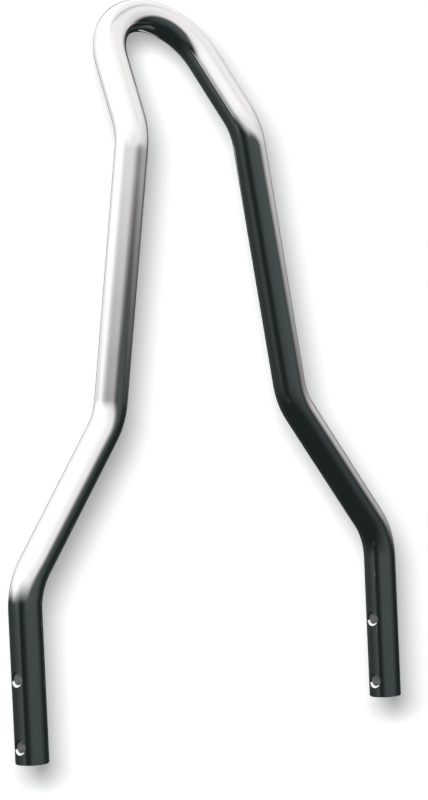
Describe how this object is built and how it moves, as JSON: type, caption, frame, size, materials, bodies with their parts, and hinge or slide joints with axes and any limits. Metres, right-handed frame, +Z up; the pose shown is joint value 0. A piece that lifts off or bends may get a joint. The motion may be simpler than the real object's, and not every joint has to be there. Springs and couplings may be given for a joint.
{
  "type": "sissy bar",
  "caption": "Chromed round-bar sissy bar for a motorbike: a hairpin loop that leans back, on tapering legs that flare out to upright feet, cross drilled to bolt to the fender sides.",
  "frame": {"origin": "midway between the two feet, level with the middle of their bolt holes", "axes": "+X across the bike to the rider's right, along the bolt holes; +Y to the rear, the way the loop leans; +Z up"},
  "size_m": [0.2618, 0.0486, 0.3554],
  "materials": {
    "chrome_plate": "polished"
  },
  "bodies": {
    "root": {"sissy_bar": "chrome_plate"}
  },
  "joints": []
}
